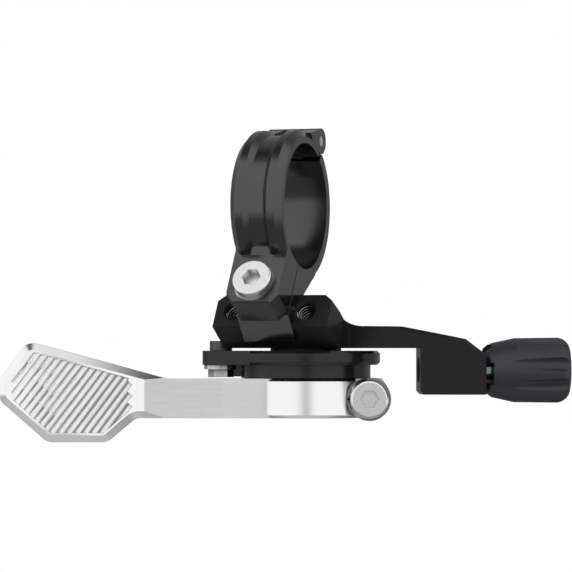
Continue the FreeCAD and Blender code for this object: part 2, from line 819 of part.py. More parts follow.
def is_arm_top_edge(edge, middle, along):
    """The front edge of the arm's top, from the bend to the cable block's nose."""
    yaw = math.radians(value("arm_yaw"))
    x, y = middle.x - value("pivot_x"), middle.y - value("pivot_y")
    across = -x * math.sin(yaw) + y * math.cos(yaw)
    forward = x * math.cos(yaw) + y * math.sin(yaw)
    crosswise = abs(-along.x * math.sin(yaw) + along.y * math.cos(yaw)) > 0.9 * along.Length
    return (forward > value("arm_slope_x") and across < value("-arm_front + 4") and not crosswise
            and abs(along.z) < 0.9 * along.Length and middle.z > value("-arm_nose"))


# Bearing

def race(label, inner, outside):
    body = make_body(label)
    sketch = make_sketch(body, "RaceSection", "XZ_Plane")
    draw_outline(sketch, [
        (inner, "-bearing_top"), (outside, "-bearing_top"),
        (outside, "-bearing_top - bearing_width"), (inner, "-bearing_top - bearing_width")])
    turn_solid(body, sketch)
    place(body, "pivot_x", "pivot_y")
    return body


def bearing_seal(label, level):
    body = make_body(label)
    sketch = make_sketch(body, "Seal", "XY_Plane", base=(0, 0, level))
    draw_circle(sketch, 0, 0, "bearing_outside - race_wall - press_fit")
    draw_circle(sketch, 0, 0, "bearing_bore + race_wall + seal_play")
    pad(body, sketch, "seal_thickness")
    place(body, "pivot_x", "pivot_y")
    return body


roller_circle = "(bearing_bore + bearing_outside) / 2"
roller_radius = "((bearing_outside - bearing_bore) / 2 - race_wall - roller_play)"
roller_length = "(cage_height - 2 * cage_rim - roller_play)"
bearing_middle = "-bearing_top - bearing_width / 2"


def round_the_race(shape):
    """Copies of a shape, one for each roller, spaced evenly round the bearing."""
    count = int(value("roller_count"))
    copies = []
    for index in range(count):
        copy = shape.copy()
        copy.rotate(Vector(0, 0, 0), Vector(0, 0, 1), index * 360 / count)
        copies.append(copy)
    return copies


def bearing_rollers():
    """The ring of loose needle rollers, as one group of separate solids."""
    foot = Vector(value(roller_circle), 0, value(f"{bearing_middle} - {roller_length} / 2"))
    roller = Part.makeCylinder(value(roller_radius), value(roller_length), foot)
    feature = doc.addObject("Part::Feature", "bearing_rollers")
    feature.Label = "bearing_rollers"
    feature.Shape = Part.makeCompound(round_the_race(roller))
    place(feature, "pivot_x", "pivot_y")
    return feature


def bearing_cage():
    """The ring that keeps the rollers apart, with a window for each."""
    height = value("cage_height")
    reach, wall = value(roller_circle), value("cage_wall")
    floor = Vector(0, 0, value(f"{bearing_middle} - cage_height / 2"))
    ring = Part.makeCylinder(reach + wall / 2, height, floor).cut(
        Part.makeCylinder(reach - wall / 2, height, floor))
    width = value(f"2 * {roller_radius} + 2 * roller_play")
    corner = Vector(reach - wall, -width / 2, floor.z + value("cage_rim"))
    window = Part.makeBox(2 * wall, width, value("cage_height - 2 * cage_rim"), corner)
    feature = doc.addObject("Part::Feature", "bearing_cage")
    feature.Label = "bearing_cage"
    feature.Shape = ring.cut(round_the_race(window))
    place(feature, "pivot_x", "pivot_y")
    return feature


# Cable pulley

def cable_pulley():
    body = make_body("cable_pulley")
    sketch = make_sketch(body, "PulleySection", "XZ_Plane")
    seat = "bearing_outside + press_fit"
    draw_outline(sketch, [
        (seat, "-flange_top"),
        ("flange_radius - flange_bevel", "-flange_top"),
        ("flange_radius", "-flange_top - flange_bevel"),
        ("flange_radius", "-flange_bottom + flange_bevel"),
        ("flange_radius - flange_bevel", "-flange_bottom"),
        ("groove_radius", "-flange_bottom"),
        ("groove_radius", "-groove_bottom"),
        ("collar_radius", "-groove_bottom"),
        ("collar_radius", "-collar_end"),
        ("collar_bore", "-collar_end"),
        ("collar_bore", "-bearing_top - bearing_width"),
        (seat, "-bearing_top - bearing_width")])
    turn_solid(body, sketch)
    lobe = make_sketch(body, "AnchorLobe", "XY_Plane", base=(0, 0, "-flange_bottom"), angle="anchor_angle")
    lean = "((flange_radius - lobe_radius) / anchor_reach)"
    rise = f"sqrt(1 - {lean} * {lean})"
    draw_outline(lobe, [
        (f"flange_radius * {lean}", f"flange_radius * {rise}"),
        (f"flange_radius * {lean}", f"-flange_radius * {rise}"),
        (f"anchor_reach + lobe_radius * {lean}", f"-lobe_radius * {rise}", "lobe_radius"),
        (f"anchor_reach + lobe_radius * {lean}", f"lobe_radius * {rise}")])
    pad(body, lobe, "flange_bottom - flange_top")
    web = make_sketch(body, "AnchorWeb", "XY_Plane", base=(0, 0, "-anchor_web_bottom"), angle="anchor_angle")
    draw_outline(web, [
        ("(groove_radius + collar_radius) / 2", "-anchor_web_back"),
        ("anchor_reach - anchor_web_reach", "-anchor_web_back"),
        ("anchor_reach - anchor_web_reach", "anchor_web_front"),
        ("(groove_radius + collar_radius) / 2", "anchor_web_front")])
    pad(body, web, "anchor_web_bottom - flange_bottom")
    hollow = make_sketch(body, "AnchorRoom", "XY_Plane", base=(0, 0, "-flange_bottom"), angle="anchor_angle")
    draw_circle(hollow, "anchor_reach", 0, "anchor_room")
    pocket(body, hollow, "anchor_web_bottom - flange_bottom")
    room = make_sketch(body, "BearingRoom", "XY_Plane", base=(0, 0, "-flange_top"))
    draw_circle(room, 0, 0, seat)
    pocket(body, room, "bearing_top + bearing_width - flange_top")
    hole = make_sketch(body, "AnchorHole", "XY_Plane", base=(0, 0, "-flange_top"), angle="anchor_angle")
    draw_circle(hole, "anchor_reach", 0, "anchor_hole")
    pocket(body, hole, "flange_bottom - flange_top")
    place(body, "pivot_x", "pivot_y", turn_z="lever_yaw")
    return body


# Thumb lever

dish_span = "(paddle_tip - paddle_start)"
dish_radius = f"(({dish_span} * {dish_span} / 4 + dish_depth * dish_depth) / 2 / dish_depth)"


# The paddle's outline from the front: its crown, tip and heel
paddle_corners = [
    ("-crown_x", "-crown_drop"),
    ("-paddle_tip", "-tip_upper_drop"),
    ("-paddle_tip", "-tip_lower_drop"),
    ("-heel_left_x", "-heel_drop"),
    ("-heel_right_x", "-heel_drop"),
    ("-heel_end_x", "-ring_bottom")]


def paddle_top_at(reach):
    """Height of the paddle's straight top edge, a distance to the left of the pivot."""
    return f"-ring_top + (ring_top - crown_drop) * (({reach}) - paddle_top_x) / (crown_x - paddle_top_x)"


def lever_blank():
    """The lever's arm, dished paddle and clamp ring, before the scallops are milled."""
    body = make_body("lever_blank")
    plan = make_sketch(body, "LeverPlan", "XY_Plane", base=(0, 0, "-heel_drop - 1"))
    draw_outline(plan, [
        (0, "-arm_root_face"),
        (0, "-arm_face + 0.4"),
        ("-arm_root_x", "-arm_face + arm_thickness"),
        ("-paddle_start", "-arm_face + arm_thickness", f"{dish_radius} + paddle_thickness"),
        ("-paddle_tip - 1", "-arm_face + paddle_thickness"),
        ("-paddle_tip - 1", "-arm_face", f"-{dish_radius}"),
        ("-paddle_start", "-arm_face"),
        ("-arm_kink", "-arm_face")])
    pad(body, plan, "heel_drop - crown_drop + 3")
    side = make_sketch(body, "LeverSide", "XZ_Plane")
    draw_outline(side, [(-90, -90), (30, -90), (30, 0), (-90, 0)])
    draw_outline(side, paddle_corners + [
        (5, "-ring_bottom"),
        (5, "-ring_top"),
        ("-paddle_top_x", "-ring_top")])
    pocket(body, side)
    ease(body, "Fillet", "paddle_round", lambda edge, middle, along: (
        runs_through(edge, along) and middle.x < value("-paddle_top_x + 1")))
    ease(body, "Chamfer", "paddle_bevel", on_dish_rim)
    ring = make_sketch(body, "RingSection", "XZ_Plane")
    draw_outline(ring, [
        ("collar_radius + ring_fit - 0.5", "-ring_top"),
        ("ring_radius - ring_bevel", "-ring_top"),
        ("ring_radius", "-ring_top - ring_bevel"),
        ("ring_radius", "-ring_bottom + ring_bevel"),
        ("ring_radius - ring_bevel", "-ring_bottom"),
        ("collar_radius + ring_fit - 0.5", "-ring_bottom")])
    turn_solid(body, ring)
    lug = make_sketch(body, "Lug", "XZ_Plane", base=(0, 0, "-lug_back"))
    draw_outline(lug, [
        ("collar_radius - 1.5", "-ring_top"),
        ("lug_right - lug_corner_run", "-ring_top"),
        ("lug_right", "-ring_top - lug_corner_rise"),
        ("lug_right", "-ring_bottom + lug_heel_rise"),
        ("lug_right - lug_heel_run", "-ring_bottom"),
        ("collar_radius - 1.5", "-ring_bottom")])
    pad(body, lug, "lug_back + lug_front")
    bore = make_sketch(body, "RingBore", "XY_Plane")
    draw_circle(bore, 0, 0, "collar_radius + ring_fit")
    pocket(body, bore)
    slot = make_sketch(body, "PinchSlot", "XY_Plane")
    draw_outline(slot, [
        ("collar_radius - 2", "-slot_front"),
        ("lug_right + 1", "-slot_front"),
        ("lug_right + 1", "-slot_front + slot_width"),
        ("collar_radius - 2", "-slot_front + slot_width")])
    pocket(body, slot)
    spot = make_sketch(body, "PinchSpot", "XZ_Plane", base=(0, 0, "lug_front + 6"))
    draw_circle(spot, "pinch_x", "-pinch_drop", "pinch_spot")
    pocket(body, spot, 6)
    clear = make_sketch(body, "PinchHole", "XZ_Plane", base=(0, 0, "lug_front"))
    draw_circle(clear, "pinch_x", "-pinch_drop", "bolt_hole")
    pocket(body, clear, "lug_front - slot_front")
    tapped = make_sketch(body, "PinchThread", "XZ_Plane", base=(0, 0, "slot_front - slot_width"))
    draw_circle(tapped, "pinch_x", "-pinch_drop", "tap_radius")
    pocket(body, tapped, "lug_back + 3")
    return body


def runs_through(edge, along):
    """Whether an edge runs from the front to the back."""
    return abs(along.y) > 0.9 * edge.Length


def on_dish_rim(edge, middle, along):
    """The edges where the paddle's sides meet its dished front."""
    return (middle.x < value("-paddle_start - 0.5") and not runs_through(edge, along)
            and middle.y < value("-arm_face + dish_depth + 0.9"))


def scallop_cutters():
    """One ring for each scallop: a ball-nosed cutter's path, bent to the dish and held to the field."""
    bend = f"({dish_radius} / cos(scallop_angle) / cos(scallop_angle))"
    rings = []
    for index in range(int(value("scallop_count"))):
        ring = doc.addObject("Part::Torus", f"Scallop{index}")
        bind(ring, "Radius1", f"{bend} - scallop_radius + scallop_depth")
        bind(ring, "Radius2", "scallop_radius")
        bind(ring, "Angle3", "scallop_sweep")
        step = index - (value("scallop_count") - 1) / 2
        bind(ring, "Placement",
             f"placement(vector(-(paddle_start + paddle_tip) / 2; -arm_face + dish_depth - {bend};"
             f" -field_middle + {step} * scallop_pitch / cos(scallop_angle));"
             " rotation(vector(0; 1; 0); -scallop_angle)"
             " * rotation(vector(0; 0; 1); 90 - scallop_sweep / 2))")
        rings.append(ring)
    bundle = doc.addObject("Part::MultiFuse", "ScallopRings")
    bundle.Shapes = rings
    outline = doc.addObject("Sketcher::SketchObject", "PaddleOutline")
    outline.Placement = FreeCAD.Placement(Vector(0, 0, 0), FreeCAD.Rotation(Vector(1, 0, 0), 90))
    draw_outline(outline, paddle_corners + [
        ("-field_right_x + scallop_margin", "-ring_bottom"),
        ("-field_right_x + scallop_margin", paddle_top_at("field_right_x - scallop_margin"))])
    inset = doc.addObject("Part::Offset2D", "ScallopOutline")
    inset.Source = outline
    inset.Join = "Intersection"
    bind(inset, "Value", "-scallop_margin")
    field = doc.addObject("Part::Extrusion", "ScallopField")
    field.Base = inset
    field.DirMode = "Custom"
    field.Dir = (0, -1, 0)
    field.Solid = True
    bind(field, "LengthFwd", "arm_face + scallop_radius")
    cutters = doc.addObject("Part::Common", "ScallopCutters")
    cutters.Base = bundle
    cutters.Tool = field
    return cutters


def thumb_lever():
    lever = doc.addObject("Part::Cut", "thumb_lever")
    lever.Label = "thumb_lever"
    lever.Base = lever_blank()
    lever.Tool = scallop_cutters()
    place(lever, "pivot_x", "pivot_y", turn_z="lever_yaw")
    return lever


# Barrel adjuster, drawn along its axis from the cable block's face

toward_front = -90


def adjuster_place(body):
    x, y = in_frame("arm_yaw", "stop_right", "-cable_side")
    place(body, x, y, "-cable_drop", turn_z="arm_yaw", turn_y=90)


def adjuster_barrel():
    body = make_body("adjuster_barrel")
    sketch = make_sketch(body, "BarrelSection", "XZ_Plane")
    draw_outline(sketch, [
        ("barrel_bore", "-barrel_tail"),
        ("thread_radius - 0.3", "-barrel_tail"),
        ("thread_radius", "-barrel_tail + 0.3"),
        ("thread_radius", "barrel_shoulder"),
        ("barrel_core", "barrel_shoulder"),
        ("barrel_core", "grip_gap + grip_length - 0.4"),
        ("barrel_core - 0.3", "grip_gap + grip_length - 0.1"),
        ("socket_radius", "grip_gap + grip_length - 0.1"),
        ("socket_radius", "grip_gap + grip_length - 0.1 - socket_depth"),
        ("barrel_bore", "grip_gap + grip_length - 0.1 - socket_depth")])
    turn_solid(body, sketch)
    adjuster_place(body)
    return body


def adjuster_grip():
    body = make_body("adjuster_grip")
    sketch = make_sketch(body, "GripSection", "XZ_Plane")
    inside = "barrel_core + press_fit"
    draw_outline(sketch, [
        (inside, "grip_gap"),
        ("grip_mouth", "grip_gap"),
        ("grip_neck", "grip_neck_at"),
        ("grip_waist", "grip_waist_at"),
        ("grip_radius", "grip_gap + grip_length - grip_end_run", "grip_end_round"),
        ("grip_end_radius", "grip_gap + grip_length"),
        (inside, "grip_gap + grip_length")])
    turn_solid(body, sketch)
    repeated = []
    lean = "atan((flute_start_reach - flute_end_reach) / grip_length)"
    for sign in (-1, 1):
        turn = f"({toward_front} + flute_turn + {sign} * flute_spread)"
        flute = make_sketch(body, f"Flute{sign + 1}", "XY_Plane",
                            base=(f"flute_start_reach * cos({turn})", f"flute_start_reach * sin({turn})",
                                  "flute_start"),
                            axis=(f"-sin({turn})", f"cos({turn})", 0), angle=f"-{lean}")
        draw_circle(flute, 0, 0, "flute_radius")
        repeated.append(pocket(body, flute, "grip_length + 1", backwards=True))
    notch = make_sketch(body, "Notch", "XY_Plane", angle=f"{toward_front} + flute_turn")
    draw_outline(notch, [
        ("barrel_core - 0.5", "-notch_width / 2"),
        ("grip_radius + 1", "-notch_width / 2"),
        ("grip_radius + 1", "notch_width / 2"),
        ("barrel_core - 0.5", "notch_width / 2")])
    repeated.append(pocket(body, notch, "grip_gap + notch_depth", backwards=True))
    doc.recompute()
    pattern = body.newObject("PartDesign::PolarPattern", "GripLobes")
    pattern.Originals = repeated
    pattern.Axis = (sketch, ["V_Axis"])
    pattern.Angle = 360
    pattern.Occurrences = 4
    body.Tip = pattern
    adjuster_place(body)
    return body


def thread_lock_patch():
    body = make_body("thread_lock_patch")
    sketch = make_sketch(body, "Patch", "XY_Plane", base=(0, 0, "patch_from"), angle=toward_front)
    inside, outside = "(thread_radius + press_fit)", "(thread_radius + patch_height)"
    far, side = "cos(patch_half_angle)", "sin(patch_half_angle)"
    draw_outline(sketch, [
        (f"{outside} * {far}", f"-{outside} * {side}", outside),
        (f"{outside} * {far}", f"{outside} * {side}"),
        (f"{inside} * {far}", f"{inside} * {side}", f"-{inside}"),
        (f"{inside} * {far}", f"-{inside} * {side}")])
    pad(body, sketch, "patch_length")
    adjuster_place(body)
    return body


builders = [
    clamp_front, clamp_rear, hinge_pin, clamp_bolt, main_body,
    axle_washer, axle_screw,
    lambda: race("bearing_inner_race", "bearing_bore", "bearing_bore + race_wall"),
    lambda: race("bearing_outer_race", "bearing_outside - race_wall", "bearing_outside"),
    lambda: bearing_seal("bearing_seal_upper", "-bearing_top - seal_inset - seal_thickness"),
    lambda: bearing_seal("bearing_seal_lower", "-bearing_top - bearing_width + seal_inset"),
    bearing_rollers, bearing_cage,
    cable_pulley, anchor_screw, anchor_washer, anchor_nut,
    thumb_lever, pinch_bolt,
    adjuster_barrel, adjuster_grip, thread_lock_patch,
]
pieces = [build() for build in builders]
doc.recompute()

for item in doc.Objects:
    if {"Invalid", "Error"} & set(item.State):
        raise RuntimeError(f"{item.Label} did not build: {item.State}")
for piece in pieces:
    if piece.Shape.isNull() or not piece.Shape.isValid():
        raise RuntimeError(f"{piece.Label} has no valid shape")

os.makedirs("parts", exist_ok=True)
for piece in pieces:
    piece.Shape.exportStep(f"parts/{piece.Label}.step")
    print(piece.Label, len(piece.Shape.Solids), "solids,", round(piece.Shape.Volume, 2), "mm3")
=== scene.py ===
import json
import math

import bpy
from mathutils import Matrix, Vector


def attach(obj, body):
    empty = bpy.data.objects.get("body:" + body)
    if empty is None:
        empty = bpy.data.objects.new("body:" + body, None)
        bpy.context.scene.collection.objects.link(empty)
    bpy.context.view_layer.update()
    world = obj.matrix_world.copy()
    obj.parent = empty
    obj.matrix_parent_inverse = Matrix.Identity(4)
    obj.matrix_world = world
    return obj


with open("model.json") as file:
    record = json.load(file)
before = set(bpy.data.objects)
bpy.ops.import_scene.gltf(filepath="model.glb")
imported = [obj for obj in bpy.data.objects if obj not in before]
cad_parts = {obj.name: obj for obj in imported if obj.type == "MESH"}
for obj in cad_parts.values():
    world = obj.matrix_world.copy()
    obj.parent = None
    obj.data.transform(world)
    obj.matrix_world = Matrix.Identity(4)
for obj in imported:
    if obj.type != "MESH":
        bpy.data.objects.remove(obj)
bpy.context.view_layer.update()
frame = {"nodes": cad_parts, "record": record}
nodes = frame["nodes"]
scene = bpy.context.scene
print("frame loaded:", len(nodes), "nodes")

# Lengths are in metres, from the middle of the bar clamp's bore. Side, depth and height are the camera's.
photoCamera = {
    "turn": 20.0,                   # degrees, from square on to the bar
    "distance": 0.650,
    "width": 0.10093,               # across the picture, at the clamp
    "aim": (0.001006, -0.0252),     # side and height of the lens axis
    "pictureCentre": -0.01403,      # height of the picture's middle
    "sensor": 36.0,                 # millimetres
    "clip": (0.01, 30.0),
}


def viewPlace(side, depth, height):
    turn = math.radians(photoCamera["turn"])
    return Vector((side * math.cos(turn) - depth * math.sin(turn),
                   side * math.sin(turn) + depth * math.cos(turn), height))


def makeCamera(settings):
    aimSide, aimHeight = settings["aim"]
    data = bpy.data.cameras.new("photoCamera")
    data.sensor_width = settings["sensor"]
    data.lens = settings["sensor"] * settings["distance"] / settings["width"]
    data.shift_y = (settings["pictureCentre"] - aimHeight) / settings["width"]
    data.clip_start, data.clip_end = settings["clip"]
    camera = bpy.data.objects.new("photoCamera", data)
    camera.location = viewPlace(aimSide, -settings["distance"], aimHeight)
    camera.rotation_euler = (math.pi / 2, 0.0, math.radians(settings["turn"]))
    scene.collection.objects.link(camera)
    scene.camera = camera


makeCamera(photoCamera)
scene.view_settings.view_transform = "Standard"


def link(tree, source, target):
    tree.links.new(source, target)


def feed(tree, target, item):       # a link from another socket, or a fixed value
    if isinstance(item, bpy.types.NodeSocket):
        link(tree, item, target)
    else:
        target.default_value = item


def addMath(tree, operation, *items):
    node = tree.nodes.new("ShaderNodeMath")
    node.operation = operation
    for socket, item in zip(node.inputs, items):
        feed(tree, socket, item)
    return node.outputs["Value"]


def addDot(tree, first, second):
    node = tree.nodes.new("ShaderNodeVectorMath")
    node.operation = "DOT_PRODUCT"
    feed(tree, node.inputs[0], first)
    feed(tree, node.inputs[1], second)
    return node.outputs["Value"]


def addFade(tree, value, start, end, before, after):     # a soft step from one brightness to another
    node = tree.nodes.new("ShaderNodeMapRange")
    node.interpolation_type = "SMOOTHSTEP"
    for name, number in (("From Min", start), ("From Max", end), ("To Min", before), ("To Max", after)):
        node.inputs[name].default_value = number
    link(tree, value, node.inputs["Value"])
    return node.outputs["Result"]


# a Mix node has sockets for each kind of value: its share, first, second and result
mixSockets = {"FLOAT": (0, 2, 3, 0), "RGBA": (0, 6, 7, 2)}


def addMix(tree, share, first, second, kind="FLOAT", blend="MIX"):
    node = tree.nodes.new("ShaderNodeMix")
    node.data_type = kind
    node.blend_type = blend
    *entries, result = mixSockets[kind]
    for index, item in zip(entries, (share, first, second)):
        feed(tree, node.inputs[index], item)
    return node.outputs[result]


# The tent round the object. Its brightness is what a mirror would show; the lamps only light.
studio = {
    "worldLight": 0.45,             # what lights the object from all round
    "tentWhite": 1.05,              # the walls
    "underEdge": (-22.0, -7.0),     # degrees above the horizon, where the walls end below
    "underWhite": 0.30,             # below the camera, where its stand is
    "underPlain": 0.62,             # straight below the object
    "standEdge": (0.05, 0.25),      # cosine towards the lens
    "openEdge": (61.0, 72.0),       # degrees above the horizon, where the tent opens
    "openWhite": 0.03,
    "sheetWhite": 0.95,             # a white sheet over the right of the opening
    "sheetEdge": (-0.10, 0.20),     # cosine towards the right
    "lensShade": 0.40,              # the dark patch round the lens
    "lensEdge": (5.0, 12.0),        # degrees from the lens
    "backShade": 0.30,              # the dark behind the object, which shows along every edge
    "backEdge": (0.0, 0.38),        # cosine away from the lens
    # name: from where (side, depth, height), degrees across, strength
    "lamps": {
        "topLamp": ((-0.15, 0.25, 1.0), 70.0, 0.7),
        "frontLamp": ((0.0, -1.0, -0.02), 50.0, 1.35),
        "leftLamp": ((-0.9, -0.45, 0.6), 50.0, 0.45),
        "rightLamp": ((0.95, -0.25, 0.45), 50.0, 0.30),
    },
}


def sines(edges):
    return [math.sin(math.radians(edge)) for edge in edges]


def paintTent(tree, settings):
    where = tree.nodes.new("ShaderNodeTexCoord").outputs["Generated"]
    height = addDot(tree, where, Vector((0.0, 0.0, 1.0)))
    towards = addDot(tree, where, viewPlace(0.0, -1.0, 0.0))
    sideways = addDot(tree, where, viewPlace(1.0, 0.0, 0.0))

    stand = addFade(tree, towards, *settings["standEdge"], 0.0, 1.0)
    floorSeen = addMix(tree, stand, settings["underPlain"], settings["underWhite"])
    under = addFade(tree, height, *sines(settings["underEdge"]), 1.0, 0.0)
    walls = addMix(tree, under, settings["tentWhite"], floorSeen)

    sheet = addFade(tree, sideways, *settings["sheetEdge"], 0.0, 1.0)
    roofSeen = addMix(tree, sheet, settings["openWhite"], settings["sheetWhite"])
    above = addFade(tree, height, *sines(settings["openEdge"]), 0.0, 1.0)
    tent = addMix(tree, above, walls, roofSeen)

    near, far = (math.cos(math.radians(edge)) for edge in settings["lensEdge"])
    lens = addFade(tree, towards, far, near, 1.0, settings["lensShade"])
    away = addMath(tree, "MULTIPLY", towards, -1.0)
    behind = addFade(tree, away, *settings["backEdge"], 1.0, settings["backShade"])
    return addMath(tree, "MULTIPLY", tent, addMath(tree, "MULTIPLY", lens, behind))


def makeWorld(settings):
    world = bpy.data.worlds.new("studioTent")
    scene.world = world
    world.use_nodes = True
    tree = world.node_tree
    tree.nodes.clear()
    out = tree.nodes.new("ShaderNodeOutputWorld")
    back = tree.nodes.new("ShaderNodeBackground")
    paths = tree.nodes.new("ShaderNodeLightPath")
    lighting = addMix(tree, paths.outputs["Is Glossy Ray"], settings["worldLight"], paintTent(tree, settings))
    seen = addMix(tree, paths.outputs["Is Camera Ray"], lighting, 1.0)
    back.inputs["Color"].default_value = (1.0, 1.0, 1.0, 1.0)
    link(tree, seen, back.inputs["Strength"])
    link(tree, back.outputs[0], out.inputs["Surface"])


def makeLamps(settings):
    for name, (place, across, strength) in settings["lamps"].items():
        data = bpy.data.lights.new(name, "SUN")
        data.energy = strength
        data.angle = math.radians(across)
        lamp = bpy.data.objects.new(name, data)
        lamp.location = viewPlace(*place)
        lamp.rotation_euler = lamp.location.to_track_quat("Z", "Y").to_euler()
        lamp.visible_glossy = False     # the tent is what shows in the gloss
        scene.collection.objects.link(lamp)


paleFloor = {
    "drop": -0.082,
    "size": 24.0,
    "colour": (0.94, 0.94, 0.94, 1.0),
    "lift": 0.25,       # added for the camera, so that the floor runs white to the back
}


def paintFloor(settings):
    material = bpy.data.materials.new("paleFloor")
    material.use_nodes = True
    tree = material.node_tree
    tree.nodes.clear()
    out = tree.nodes.new("ShaderNodeOutputMaterial")
    paths = tree.nodes.new("ShaderNodeLightPath")
    plain = tree.nodes.new("ShaderNodeBsdfDiffuse")
    plain.inputs["Color"].default_value = settings["colour"]
    lift = tree.nodes.new("ShaderNodeEmission")
    link(tree, addMath(tree, "MULTIPLY", paths.outputs["Is Camera Ray"], settings["lift"]),
         lift.inputs["Strength"])
    both = tree.nodes.new("ShaderNodeAddShader")
    link(tree, plain.outputs[0], both.inputs[0])
    link(tree, lift.outputs[0], both.inputs[1])
    clear = tree.nodes.new("ShaderNodeBsdfTransparent")     # the gloss sees the tent through it
    pick = tree.nodes.new("ShaderNodeMixShader")
    link(tree, paths.outputs["Is Glossy Ray"], pick.inputs[0])
    link(tree, both.outputs[0], pick.inputs[1])
    link(tree, clear.outputs[0], pick.inputs[2])
    link(tree, pick.outputs[0], out.inputs["Surface"])
    return material


def makeFloor(settings):
    half = settings["size"] / 2
    corners = [(-half, -half), (half, -half), (half, half), (-half, half)]
    mesh = bpy.data.meshes.new("studioFloor")
    mesh.from_pydata([(x, y, settings["drop"]) for x, y in corners], [], [(0, 1, 2, 3)])
    mesh.materials.append(paintFloor(settings))
    floor = bpy.data.objects.new("studioFloor", mesh)
    scene.collection.objects.link(floor)


makeWorld(studio)
makeLamps(studio)
makeFloor(paleFloor)
print("camera, tent and floor ready")

# What blasted and brushed metal share
surfaceDetail = {
    "creviceReach": 0.0015,     # how far off a wall still takes light away
    "edgeRound": 0.00012,       # radius that the edges are softened to
    "bump": 0.00002,            # height of the deepest marks
    "samples": 6,
}


def newFinishGroup(name, inputs):
    group = bpy.data.node_groups.new(name, "ShaderNodeTree")
    # the last two inputs set how much painted shade darkens the colour in hollows and which faces it spares
    for socket, kind, start in inputs + [
            ("Grain", "NodeSocketFloat", 6000.0), ("Depth", "NodeSocketFloat", 0.2),
            ("Roughness", "NodeSocketFloat", 0.3), ("Spread", "NodeSocketFloat", 0.1),
            ("Dark", "NodeSocketColor", (0.0, 0.0, 0.0, 1.0)),
            ("Light", "NodeSocketColor", (1.0, 1.0, 1.0, 1.0)),
            ("HollowShade", "NodeSocketFloat", 0.6), ("Axis", "NodeSocketVector", (0.0, 0.0, 0.0))]:
        made = group.interface.new_socket(socket, in_out="INPUT", socket_type=kind)
        made.default_value = start
    for socket, kind in (("Color", "NodeSocketColor"), ("Roughness", "NodeSocketFloat"),
                         ("Normal", "NodeSocketVector")):
        group.interface.new_socket(socket, in_out="OUTPUT", socket_type=kind)
    return group, group.nodes.new("NodeGroupInput").outputs, group.nodes.new("NodeGroupOutput").inputs


def addNoise(tree, where, scale, detail):
    node = tree.nodes.new("ShaderNodeTexNoise")
    for name, item in (("Vector", where), ("Scale", scale), ("Detail", detail)):
        feed(tree, node.inputs[name], item)
    return node.outputs["Fac"]


def addSpread(tree, value, middle, spread):     # middle + (value - 0.5) * spread
    centred = addMath(tree, "SUBTRACT", value, 0.5)
    return addMath(tree, "ADD", addMath(tree, "MULTIPLY", centred, spread), middle)


# painted shade: the colour goes darker where a socket, gap or groove hides from the light, but not on faces
# square to the axis
def addCrevice(tree, colour, depth, axis):
    hidden = tree.nodes.new("ShaderNodeAmbientOcclusion")
    hidden.samples = surfaceDetail["samples"]
    hidden.inputs["Distance"].default_value = surfaceDetail["creviceReach"]
    facing = addDot(tree, tree.nodes.new("ShaderNodeTexCoord").outputs["Normal"], axis)
    aside = addMath(tree, "SUBTRACT", 1.0, addMath(tree, "ABSOLUTE", facing))
    openness = addMath(tree, "MULTIPLY", hidden.outputs["AO"], hidden.outputs["AO"])
    share = addMath(tree, "MULTIPLY", depth, aside)
    return addMix(tree, share, colour, openness, "RGBA", "MULTIPLY")


def addBump(tree, height, strength):
    rounded = tree.nodes.new("ShaderNodeBevel")
    rounded.samples = surfaceDetail["samples"]
    rounded.inputs["Radius"].default_value = surfaceDetail["edgeRound"]
    bump = tree.nodes.new("ShaderNodeBump")
    bump.inputs["Distance"].default_value = surfaceDetail["bump"]
    for name, item in (("Strength", strength), ("Height", height), ("Normal", rounded.outputs[0])):
        link(tree, item, bump.inputs[name])
    return bump.outputs[0]


# tint varies the colour, painted shade darkens it in hollows, patches vary the roughness and marks are cut in
def endFinishGroup(group, given, out, tint, patches, marks):
    colour = addMix(group, tint, given["Dark"], given["Light"], "RGBA")
    # the colour takes painted shade where the surface hides from the light
    link(group, addCrevice(group, colour, given["HollowShade"], given["Axis"]), out["Color"])
    link(group, addSpread(group, patches, given["Roughness"], given["Spread"]), out["Roughness"])
    link(group, addBump(group, marks, given["Depth"]), out["Normal"])


def makeBlastedGrain():     # bead-blasted and anodised: fine pits, faint cloudiness
    group, given, out = newFinishGroup("blastedGrain", [])
    where = group.nodes.new("ShaderNodeTexCoord").outputs["Object"]
    pits = addNoise(group, where, given["Grain"], 1.0)
    clouds = addNoise(group, where, 90.0, 3.0)
    endFinishGroup(group, given, out, clouds, clouds, pits)
    return group


def makeBrushMarks():       # long fine scratches along one direction
    group, given, out = newFinishGroup("brushMarks", [
        ("Stretch", "NodeSocketVector", (1.0, 1.0, 1.0)), ("Turn", "NodeSocketVector", (0.0, 0.0, 0.0))])
    where = group.nodes.new("ShaderNodeTexCoord").outputs["Object"]
    turned = group.nodes.new("ShaderNodeVectorRotate")
    turned.rotation_type = "EULER_XYZ"
    turned.invert = True
    link(group, where, turned.inputs["Vector"])
    link(group, given["Turn"], turned.inputs["Rotation"])
    stretched = group.nodes.new("ShaderNodeVectorMath")
    stretched.operation = "MULTIPLY"
    link(group, turned.outputs[0], stretched.inputs[0])
    link(group, given["Stretch"], stretched.inputs[1])
    scratches = addNoise(group, stretched.outputs[0], given["Grain"], 2.0)
    clouds = addNoise(group, where, 70.0, 2.0)
    both = addMath(group, "MULTIPLY", addMath(group, "ADD", scratches, clouds), 0.5)
    endFinishGroup(group, given, out, scratches, both, scratches)
    return group


blastedGrain = makeBlastedGrain()
brushMarks = makeBrushMarks()

# Where the two cap screws point, out of their heads
clampTilt = math.radians(32.0)
leverTurn = math.radians(20.0)
clampBoltAxis = Vector((0.0, -math.cos(clampTilt), math.sin(clampTilt)))
pinchBoltAxis = Vector((math.sin(leverTurn), -math.cos(leverTurn), 0.0))
